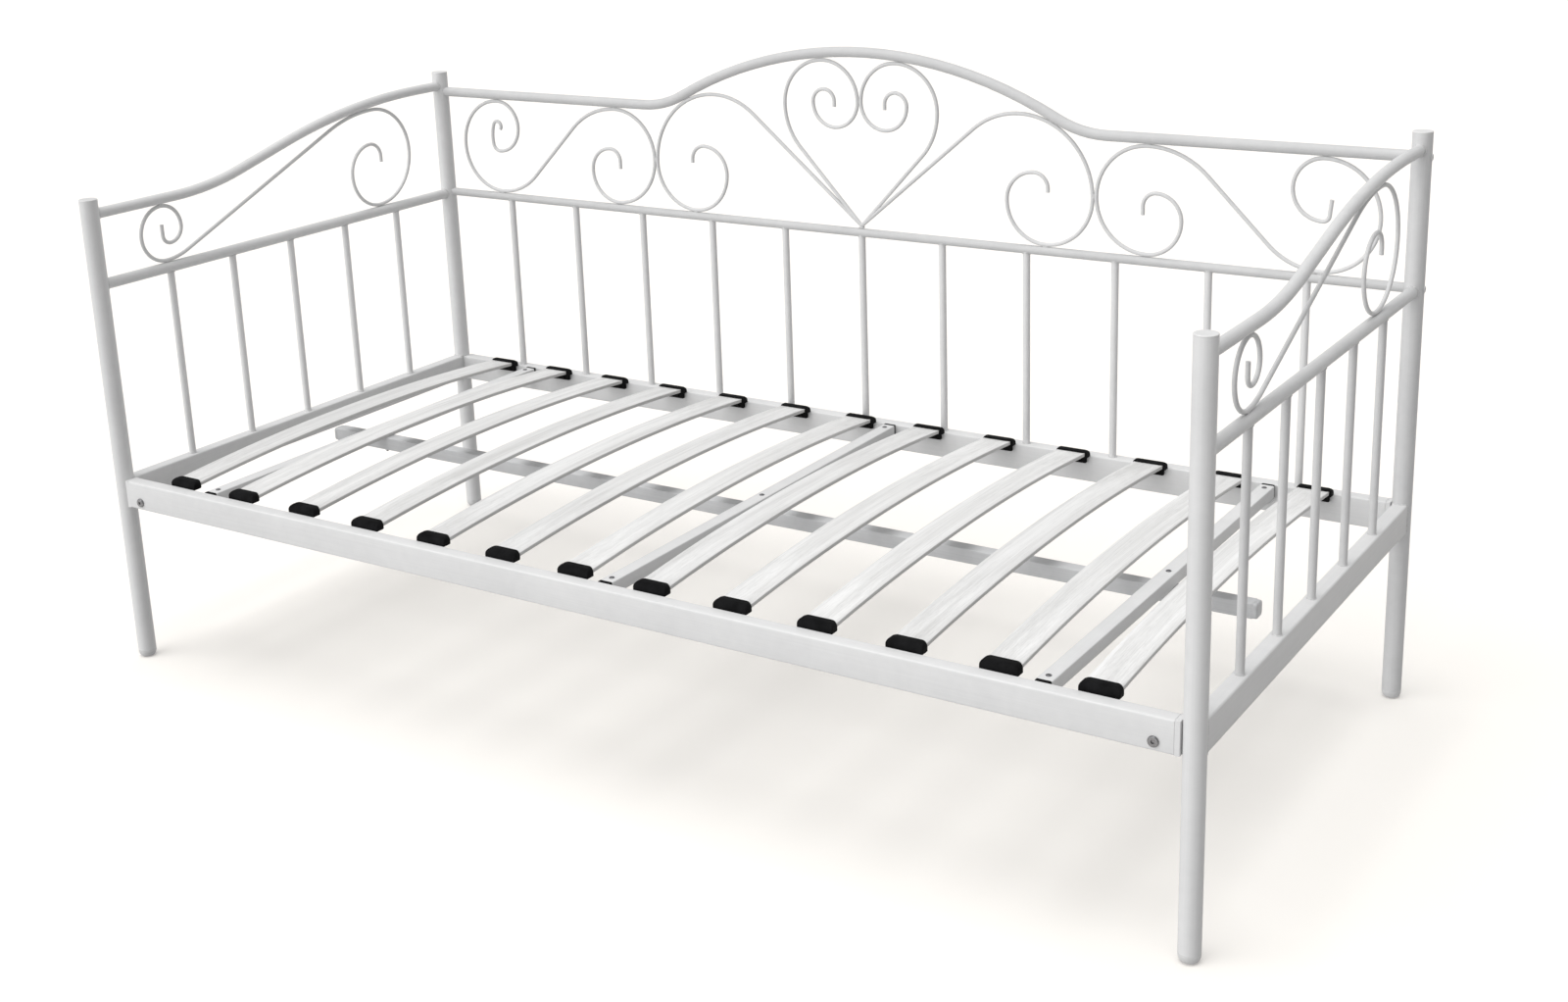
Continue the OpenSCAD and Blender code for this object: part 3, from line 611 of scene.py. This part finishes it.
def holder_mesh():
    """One holder for the front rail at x = 0, in millimetres: a moulded hood with a slot
    for the slat's end and a pin for the rail."""
    y0 = -RAIL_IN + HOLD_GAP

    def outline(z, side, rail, mouth, ra, rb=7.0):
        """Level section of the hood: set in from its sides, from the rail and from its
        mouth; ra and rb round the corners at the rail and at the mouth."""
        w, ya, yb = HOLD_W / 2 - side, y0 + rail, y0 + HOLD_D - mouth
        pts = []
        for cx, cy, r, a0 in ((-w + ra, ya + ra, ra, 180), (w - ra, ya + ra, ra, 270),
                              (w - rb, yb - rb, rb, 0), (-w + rb, yb - rb, rb, 90)):
            for k in range(9):
                t = math.radians(a0 + 90 * k / 8)
                pts.append((cx + r * math.cos(t), cy + r * math.sin(t), z))
            if a0 == 270:
                for k in (1, 2):
                    pts.append((w, ya + ra + (yb - rb - ya - ra) * k / 3, z))
            if a0 in (180, 0):
                x0, x1 = (-w + ra, w - ra) if a0 == 180 else (w - rb, -w + rb)
                for k in range(1, 10):
                    pts.append((x0 + (x1 - x0) * k / 10, ya if a0 == 180 else yb, z))
        for k in (1, 2):
            pts.append((-w, yb - rb + (ya + ra - yb + rb) * k / 3, z))
        return pts

    rings = [outline(HOOD_Z0, 0.6, 0.5, 0.6, 0.8), outline(HOOD_Z0 + 0.2, 0.25, 0.2, 0.25, 0.9),
             outline(HOOD_Z0 + 0.7, 0.0, 0.0, 0.0, 1.0)]
    for k in range(15):
        z = HOLD_Z1 - 10.0 + 10.0 * math.sin(math.radians(86 * k / 14))
        rise = max(z - (HOLD_Z1 - 8.0), 0.0)
        side = 8.0 - math.sqrt(64.0 - rise * rise)
        rail = 10.0 - math.sqrt(max(100.0 - (z - HOLD_Z1 + 10.0) ** 2, 0.0))
        lip = max(z - (HOLD_Z1 - 1.2), 0.0)
        mouth = 1.2 - math.sqrt(max(1.44 - lip * lip, 0.0))
        rings.append(outline(z, side, rail, mouth, 1.0 + 3.0 * (k / 14) ** 1.5, 7.0 - 3.0 * (k / 14) ** 3))
    top = rings[-1]
    cx = sum(p[0] for p in top) / len(top)
    cy = sum(p[1] for p in top) / len(top)
    for f, z in ((0.7, HOLD_Z1 - 0.012), (0.35, HOLD_Z1 - 0.003)):
        rings.append([(cx + (p[0] - cx) * f, cy + (p[1] - cy) * f, z) for p in top])
    b = Build()
    b.grid(rings)
    body = bpy.data.meshes.new("hood")
    body.from_pydata(b.v, [], b.f)
    o = bpy.data.objects.new("hood_tmp", body)
    bpy.context.scene.collection.objects.link(o)

    cutters = []

    def cutter(boxes):
        c = Build()
        for pts in boxes:
            c.grid(pts)
        me = bpy.data.meshes.new("cut")
        me.from_pydata(c.v, [], c.f)
        bm = bmesh.new()
        bm.from_mesh(me)
        bmesh.ops.recalc_face_normals(bm, faces=bm.faces)
        bm.to_mesh(me)
        bm.free()
        k = bpy.data.objects.new("cut_tmp", me)
        bpy.context.scene.collection.objects.link(k)
        cutters.append(k)
        mod = o.modifiers.new("cut", "BOOLEAN")
        mod.operation, mod.solver, mod.object = "DIFFERENCE", "EXACT", k

    # the slot: its roof follows the slat's end and flares at the mouth, its floor is
    # level so that the slat can flatten
    ca, sa = math.cos(SLAT_A), math.sin(SLAT_A)
    roof = SLAT_T + 0.5
    side = [(-1.0, -0.5), (39.0, -0.5), (39.0, 39.0 * sa + roof * ca + 2.2),
            (17.0 * ca - roof * sa, 17.0 * sa + roof * ca + 0.25), (15.0 * ca - roof * sa, 15.0 * sa + roof * ca),
            (-ca - roof * sa, -sa + roof * ca)]
    cutter([[[(x, -SLAT_HALF + u, SLAT_Z + v) for u, v in side] for x in (-SLAT_W / 2 - 0.5, SLAT_W / 2 + 0.5)]])
    bm = bmesh.new()
    bm.from_mesh(body)
    bmesh.ops.recalc_face_normals(bm, faces=bm.faces)
    bm.to_mesh(body)
    bm.free()
    bpy.context.view_layer.update()
    dg = bpy.context.evaluated_depsgraph_get()
    done = bpy.data.meshes.new_from_object(o.evaluated_get(dg))
    verts = [tuple(v.co) for v in done.vertices]
    faces = [tuple(p.vertices) for p in done.polygons]
    for k in cutters + [o]:
        bpy.data.objects.remove(k)
    # the foot against the rail, two ribs under the hood, and the pin that plugs into the rail
    extra = Build()
    extra.add(verts, faces)
    rings = []
    for z, inset in ((HOLD_Z0, 0.8), (HOLD_Z0 + 0.25, 0.3), (HOLD_Z0 + 0.8, 0.0), (HOOD_Z0 - 0.6, 0.0), (HOOD_Z0 + 0.5, 0.0)):
        rings.append([(x, y0 + 3.5 + y, z) for x, y in rounded_rect(48.0 - 2 * inset, 7.0 - 2 * inset, 1.4, 4)])
    extra.grid(rings)
    for x in (-13.0, 13.0):
        extra.grid([[(x + e * 0.9, y0 + y, z) for e, y in ((-1, 6.0), (1, 6.0), (1, far), (-1, far))]
                    for z, far in ((HOLD_Z0 + 2.0, 8.0), (HOOD_Z0 + 0.4, 16.5))])
    turned(extra, [(0.01, -0.5), (4.0, -0.5), (4.0, 6.2), (3.6, 7.4), (2.6, 8.0), (0.01, 8.0)], (0, -RAIL_IN + 0.3, PIN_Z), 28, "-y")
    return extra.v, extra.f


hv, hf = holder_mesh()
for name, mirror in (("front_slat_holders", 1), ("back_slat_holders", -1)):
    bld = Build()
    for i in range(-6, 7):
        bld.add([(x + i * PITCH, y * mirror, z) for x, y, z in hv], hf)
    add_piece(name.replace("holders", "hoods"), bld.v, bld.f, black, [name], 42.0)


# ------------------------------------------------------------------ caps and feet

bld = Build()
for sx in (-1, 1):
    for sy in (-1, 1):
        h = FRONT_H if sy < 0 else BACK_H
        prof = [(PR - 2.0, -CAP_H + 0.02), (PR - 0.35, -CAP_H + 0.02), (PR - 0.05, -CAP_H + 0.3),
                (PR, -CAP_H + 0.6), (PR, -0.9), (PR - 0.12, -0.55), (PR - 0.4, -0.28), (PR - 0.9, -0.1),
                (PR - 1.8, 0.0), (PR - 5.0, -0.05), (PR - 9.0, -0.12), (0.6, -0.15)]
        turned(bld, prof, (sx * XP, sy * YP, h), 72)
        turned(bld, [(PR - 2.0, -16.0), (PR - 1.4, -15.0), (PR - 1.4, -CAP_H), (PR - 2.0, -CAP_H + 0.05)],
               (sx * XP, sy * YP, h), 48)
add_piece("post_caps_moulded", bld.v, bld.f, white_cap, ["post_top_caps"])

bld = Build()
for sx in (-1, 1):
    for sy in (-1, 1):
        prof = [(0.6, 0.0), (PR - 6.6, 0.0), (PR - 5.4, 0.12), (PR - 4.2, 0.85), (PR - 2.9, 2.1), (PR - 1.9, 3.6),
                (PR - 1.1, 5.3), (PR - 0.5, 7.2), (PR - 0.12, 9.0), (PR, 10.6), (PR, FOOT_H - 0.5), (PR - 0.12, FOOT_H - 0.2),
                (PR - 0.4, FOOT_H - 0.03), (PR - 2.2, FOOT_H - 0.03)]
        turned(bld, prof, (sx * XP, sy * YP, 0.0), 72)
        turned(bld, [(PR - 2.2, FOOT_H - 0.1), (PR - 1.35, FOOT_H - 0.05), (PR - 1.35, FOOT_H + 14.5), (PR - 2.2, FOOT_H + 16.0)],
               (sx * XP, sy * YP, 0.0), 48)
foot_grey = plastic("foot_plastic", (0.60, 0.60, 0.597), (0.70, 0.70, 0.697), (0.38, 0.5), 1000.0, 0.2)
add_piece("feet_moulded", bld.v, bld.f, foot_grey, ["foot_caps"])


# ------------------------------------------------------------------ bolts and screws

def socket_head(build, centre, axis, r, h, hexr, depth, segs=48):
    """A low head with a rounded rim and a hexagon socket."""
    rings = []

    def circle(rr, z):
        rings.append([place(centre, axis, rr * math.cos(2 * math.pi * i / segs), rr * math.sin(2 * math.pi * i / segs), z)
                      for i in range(segs)])

    def hexa(rr, z):
        ring = []
        for i in range(segs):
            a = 2 * math.pi * i / segs
            k = (a + math.pi / 6) % (math.pi / 3) - math.pi / 6
            q = rr * math.cos(math.pi / 6) / math.cos(k)
            ring.append(place(centre, axis, q * math.cos(a), q * math.sin(a), z))
        rings.append(ring)

    circle(r - 0.3, 0.0)
    circle(r, 0.3)
    circle(r, h * 0.45)
    circle(r - 0.25, h * 0.72)
    circle(r - 0.8, h * 0.90)
    circle(r - 1.7, h * 0.985)
    circle(hexr + 1.0, h)
    hexa(hexr + 0.25, h)
    hexa(hexr, h - 0.25)
    hexa(hexr, h - depth)
    hexa(hexr * 0.1, h - depth - 0.15)
    build.grid(rings)


bld = Build()
for sx in (-1, 1):
    for sy, axis in ((-1, "-y"), (1, "y")):
        y = sy * (YP + RAIL_W / 2)
        socket_head(bld, (sx * BOLT_X, y + sy * 0.05, BOLT_Z), axis, 8.0, 3.4, 2.9, 2.2)
        turned(bld, [(3.95, -17.0), (3.95, -0.2), (3.95, 0.6), (1.0, 0.6)], (sx * BOLT_X, y, BOLT_Z), 32, axis)
add_piece("rail_bolts_detailed", bld.v, bld.f, dark_steel, ["rail_bolts"])

bld = Build()
for sx, axis in ((-1, "-x"), (1, "x")):
    for z in (BACK_MID_Z, BACK_TOP_Z):
        socket_head(bld, (sx * (XP + PR + 0.05), YP, z), axis, 5.5, 1.5, 2.3, 0.9)
        turned(bld, [(2.95, -34.0), (2.95, 0.5), (1.0, 0.5)], (sx * (XP + PR), YP, z), 28, axis)
add_piece("panel_bolts_detailed", bld.v, bld.f, coat_n, ["back_panel_bolts"])


def cross_head(build, centre, r=4.4, h=1.8, segs=56):
    """A domed screw head with a cross recess."""
    rings = []
    radii = list(np.linspace(0.25, 3.0, 12)) + [3.4, 3.8, 4.15, 4.33, 4.4]
    for rr in reversed(radii):
        ring = []
        for i in range(segs):
            a = 2 * math.pi * i / segs
            x, y = rr * math.cos(a), rr * math.sin(a)
            u, v = (x + y) / math.sqrt(2), (x - y) / math.sqrt(2)
            dome = h * (1 - (rr / r) ** 2 * 0.55) if rr < 4.33 else h * 0.18
            if rr == 4.33:
                dome = h * 0.36
            arm = min(max((0.85 - min(abs(u), abs(v))) / 0.3, 0.0), 1.0) * min(max((2.7 - max(abs(u), abs(v))) / 0.4, 0.0), 1.0)
            ring.append((centre[0] + x, centre[1] + y, centre[2] + dome - 1.0 * arm))
        rings.append(ring)
    rings.insert(0, [(centre[0] + r * math.cos(2 * math.pi * i / segs), centre[1] + r * math.sin(2 * math.pi * i / segs), centre[2] + 0.02)
                     for i in range(segs)])
    build.grid(rings)


bld = Build()
for x in BAR_X:
    for y in (-BAR_SCREW_Y, 0.0, BAR_SCREW_Y):
        cross_head(bld, (x, y, BAR_TOP + 0.05))
        deep = BAR_H + (25.0 + 7.0 if y == 0.0 else 10.0)
        turned(bld, [(0.5, -deep), (1.9, -deep), (2.4, -deep + 0.8), (2.4, 0.1), (1.0, 0.1)], (x, y, BAR_TOP), 24)
add_piece("bar_screws_detailed", bld.v, bld.f, dark_steel, ["cross_bar_screws"])


# ------------------------------------------------------------------ welds

def ring_path(n, f):
    return [f(2 * math.pi * i / n) for i in range(n)]


spindles = Build()
for sx in (-1, 1):
    for i in range(-2, 3):
        x, y, r = sx * XP, i * 148.0 - 3.0, SPINDLE_D / 2
        bead(spindles, ring_path(22, lambda a: (x + (r + 0.3) * math.cos(a), y + (r + 0.3) * math.sin(a), RAIL_TOP + 0.25)), 1.15)
        R = SIDE_MID_D / 2
        bead(spindles, ring_path(22, lambda a: (x + (r + 0.3) * math.cos(a), y + (r + 0.3) * math.sin(a),
             SIDE_MID_Z - math.sqrt(max(R * R - (r * math.cos(a)) ** 2, 0)) - 0.25)), 1.1)
for i in range(-5, 6):
    x, y, r = i * 170.0, YP, SPINDLE_D / 2
    bead(spindles, ring_path(22, lambda a: (x + (r + 0.3) * math.cos(a), y + (r + 0.3) * math.sin(a), RAIL_TOP + 0.25)), 1.15)
    R = BACK_MID_D / 2
    bead(spindles, ring_path(22, lambda a: (x + (r + 0.3) * math.cos(a), y + (r + 0.3) * math.sin(a),
         BACK_MID_Z - math.sqrt(max(R * R - (min(r * abs(math.sin(a)), R)) ** 2, 0)) - 0.25)), 1.05)
add_piece("welds_spindles", spindles.v, spindles.f, weld_painted_shade_coat)

posts = Build()
BACK_END_Z = SIDE_TOP_Z + (618 + 1430) * (1 - math.cos(math.radians(15))) + 124.2 * math.sin(math.radians(15))
for sx in (-1, 1):
    for sy in (-1, 1):
        zt = SIDE_TOP_Z if sy < 0 else BACK_END_Z
        for z, rr in ((SIDE_MID_Z, SIDE_MID_D / 2), (zt, TOP_D / 2)):
            bead(posts, ring_path(34, lambda a: (sx * XP + (rr + 0.35) * math.cos(a),
                 sy * (YP - math.sqrt((PR + 0.3) ** 2 - ((rr + 0.35) * math.cos(a)) ** 2)), z + (rr + 0.35) * math.sin(a))), 1.35)
        # round the foot end of the bottom rail
        pts = []
        for a, b in rounded_rect(RAIL_W + 0.5, RAIL_H + 0.5, 2.4, 3, 10):
            pts.append((sx * XP + a, sy * (YP - math.sqrt((PR + 0.3) ** 2 - a * a)), RAIL_TOP - RAIL_H / 2 + b))
        # even steps along the long sides
        even = []
        for p, q in zip(pts, pts[1:] + pts[:1]):
            k = max(1, int(math.dist(p, q) / 2.5))
            even += [tuple(p[c] + (q[c] - p[c]) * j / k for c in range(3)) for j in range(k)]
        bead(posts, even, 1.3)
add_piece("welds_posts", posts.v, posts.f, weld_painted_shade_coat)


# Where the scrolls touch the rails and each other

def chart_points(p, h, chart, step=2.0):
    """Points along a bend chart of (radius, angle) or (0, length); angles in degrees."""
    out = [tuple(p)]
    h = math.radians(h)
    p = np.array(p, float)
    for r, a in chart:
        if r == 0:
            k = max(1, int(a / step))
            for j in range(1, k + 1):
                out.append(tuple(p + np.array([math.cos(h), math.sin(h)]) * a * j / k))
        else:
            g = 1 if a > 0 else -1
            c = p + g * r * np.array([-math.sin(h), math.cos(h)])
            k = max(2, int(abs(math.radians(a)) * r / step))
            for j in range(1, k + 1):
                q = h + math.radians(a) * j / k
                out.append(tuple(c + g * r * np.array([math.sin(q), -math.cos(q)])))
            h += math.radians(a)
        p = np.array(out[-1], float)
    return np.array(out)


def s_bend(a, r1, b, r2):
    d = math.dist(a, b)
    head = math.degrees(math.atan2(b[1] - a[1], b[0] - a[0]) + math.asin((r1 + r2) / d))
    return head, math.sqrt(d * d - (r1 + r2) ** 2)


LO = BACK_MID_Z + BACK_MID_D / 2 + ROD_D / 2 + 0.1
HI = BACK_TOP_Z - TOP_D / 2 - ROD_D / 2 - 0.1
LO_SIDE = SIDE_MID_Z + SIDE_MID_D / 2 + ROD_D / 2 + 0.1
HI_SIDE = SIDE_TOP_Z - TOP_D / 2 - ROD_D / 2 - 0.1
IN_X = -466.0
TURN = (HI - LO) / 2
out_q = (IN_X - ROD_D - 0.1 - TURN, HI)
touches = Build()


def lump(build, where, direction, length=9.0, radius=1.5, plane="back"):
    """A short bead in the hollow between two rods, on both faces of the panel. where and
    direction are in the panel's plane."""
    for side in (-1, 1):
        pts = []
        for k in range(9):
            s = (k / 8 - 0.5) * length
            u, v = where[0] + direction[0] * s, where[1] + direction[1] * s
            off = side * 2.0
            pts.append((u, YP + off, v) if plane == "back" else (plane + off, u, v))
        bead(build, pts, radius, closed=False)


for m in (-1, 1):
    # outer scroll: on the mid rail, under the top rail, beside the inner scroll
    for u, v, d in ((-872.0, LO - ROD_D / 2 + 0.2, (1, 0)), (out_q[0], HI + ROD_D / 2 - 0.2, (1, 0)),
                    (IN_X - ROD_D / 2, HI - TURN, (0, 1)), (IN_X + 89.0, LO - ROD_D / 2 + 0.2, (1, 0))):
        lump(touches, (-m * u, v), (-m * d[0], d[1]))
    # end scrolls
    lump(touches, (-305.0, LO_SIDE - ROD_D / 2 + 0.2), (1, 0), plane=m * XP)
    lump(touches, (-305.0, HI_SIDE + ROD_D / 2 - 0.2), (1, 0), plane=m * XP)
lump(touches, (0.0, LO - 1.6), (1, 0), 12.0, 1.7)
add_piece("welds_scrolls", touches.v, touches.f, weld_painted_shade_coat)


# ------------------------------------------------------------------ finishes of the CAD pieces

# The back rails, right rails, right back post, right spindles and every piece not listed get darker copies of the
# white coat, and the left spindles a lighter one. The darker copies are painted shade and the lighter one is painted
# light; the real coat is one white all over.
FINISH = {
    "left_front_post": coat_z, "left_back_post": coat_z, "right_front_post": coat_z, "right_back_post": painted_shade_coat_z,
    "left_spindles": painted_light_coat_z, "right_spindles": painted_shade_coat_z, "back_spindles": coat_z,
    "left_top_rail": coat_y, "left_mid_rail": coat_y, "left_scroll": coat_n,
    "right_top_rail": painted_shade_coat_y, "right_mid_rail": painted_shade_coat_y,
    "back_top_rail": painted_shade_coat_x, "back_mid_rail": painted_shade_coat_x,
    "bracket_front_left": coat_x, "bracket_front_right": coat_x, "bracket_back_left": coat_x, "bracket_back_right": coat_x,
    "cross_bar_tabs": coat_y, "cross_bar_plugs": black,
    "cross_bar_nuts": steel, "rail_nuts": steel, "rail_end_plugs": steel,
}
for n, o in nodes.items():
    if o.hide_render:
        continue
    mat = FINISH.get(n, painted_shade_coat_bent)
    if not o.material_slots:
        o.data.materials.append(mat)
    for s in o.material_slots:
        s.material = mat


# ------------------------------------------------------------------ floor, light and camera

def stage_floor():
    me = bpy.data.meshes.new("floor")
    s = 60.0
    me.from_pydata([(-s, -s, 0), (s, -s, 0), (s, s, 0), (-s, s, 0)], [], [(0, 1, 2, 3)])
    o = bpy.data.objects.new("floor", me)
    bpy.context.scene.collection.objects.link(o)
    m, t, sh = material("floor_pale")
    sh.inputs["Base Color"].default_value = (0.955, 0.925, 0.880, 1)
    sh.inputs["Emission Color"].default_value = (1, 1, 1, 1)
    sh.inputs["Emission Strength"].default_value = 0.10
    sh.inputs["Roughness"].default_value = 0.9
    sh.inputs["Specular IOR Level"].default_value = 0.1
    me.materials.append(m)
    o.visible_diffuse = False
    o.visible_shadow = False
    o.location.z = -0.0005
    o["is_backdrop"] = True


stage_floor()


def soft_sun(name, towards, strength, degrees, colour=(1, 1, 1)):
    """Even, soft light from one side, as from a very large softbox far away."""
    l = bpy.data.lights.new(name, "SUN")
    l.energy = strength
    l.angle = math.radians(degrees)
    l.color = colour
    o = bpy.data.objects.new(name, l)
    o.rotation_euler = Vector(towards).to_track_quat("Z", "Y").to_euler()
    o.location = Vector(towards) * 4
    bpy.context.scene.collection.objects.link(o)
    return o


soft_sun("softbox_over", (-0.05, -0.10, 1.0), 1.48, 44.0)
soft_sun("softbox_front", (-0.42, -0.86, 0.30), 1.85, 80.0)
soft_sun("softbox_back", (0.05, 0.94, 0.34), 0.50, 90.0)

world = bpy.data.worlds.new("studio")
bpy.context.scene.world = world
world.use_nodes = True
wt = world.node_tree
wt.nodes.clear()
wo = wt.nodes.new("ShaderNodeOutputWorld")
dim = wt.nodes.new("ShaderNodeBackground")
dim.inputs[0].default_value = (0.995, 0.995, 1.0, 1)
dim.inputs[1].default_value = 0.365
bright = wt.nodes.new("ShaderNodeBackground")
bright.inputs[0].default_value = (1, 1, 1, 1)
bright.inputs[1].default_value = 1.0
lp = wt.nodes.new("ShaderNodeLightPath")
mx = wt.nodes.new("ShaderNodeMixShader")
wt.links.new(lp.outputs["Is Camera Ray"], mx.inputs[0])
wt.links.new(dim.outputs[0], mx.inputs[1])
wt.links.new(bright.outputs[0], mx.inputs[2])
wt.links.new(mx.outputs[0], wo.inputs[0])

yaw, pitch, roll = -0.5745, -0.2832, -0.0331
fwd = np.array([math.sin(yaw) * math.cos(pitch), math.cos(yaw) * math.cos(pitch), math.sin(pitch)])
r0 = np.array([math.cos(yaw), -math.sin(yaw), 0.0])
u0 = np.cross(r0, fwd)
right = r0 * math.cos(roll) + u0 * math.sin(roll)
up = -r0 * math.sin(roll) + u0 * math.cos(roll)
cam_data = bpy.data.cameras.new("camera")
cam_data.sensor_fit = "HORIZONTAL"
cam_data.sensor_width = 36.0
cam_data.lens = 45.553
cam_data.shift_x = -9.296 / 1600
cam_data.shift_y = -131.50 / 1600
cam_data.clip_end = 200.0
cam = bpy.data.objects.new("camera", cam_data)
rot = Matrix((tuple(right), tuple(up), tuple(-fwd))).transposed().to_4x4()
cam.matrix_world = Matrix.Translation((1.8593, -2.667, 1.5024)) @ rot
bpy.context.scene.collection.objects.link(cam)
bpy.context.scene.camera = cam

vs = bpy.context.scene.view_settings
vs.view_transform = "Standard"
vs.look = "None"
vs.exposure = 0.0
vs.gamma = 1.0

vis_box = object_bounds()


def flat(b):
    out = []
    for c in b:
        try:
            out.append([float(v) for v in c])
        except TypeError:
            out.append(float(c))
    return out


{"cad": flat(cad_box), "visual": flat(vis_box)}
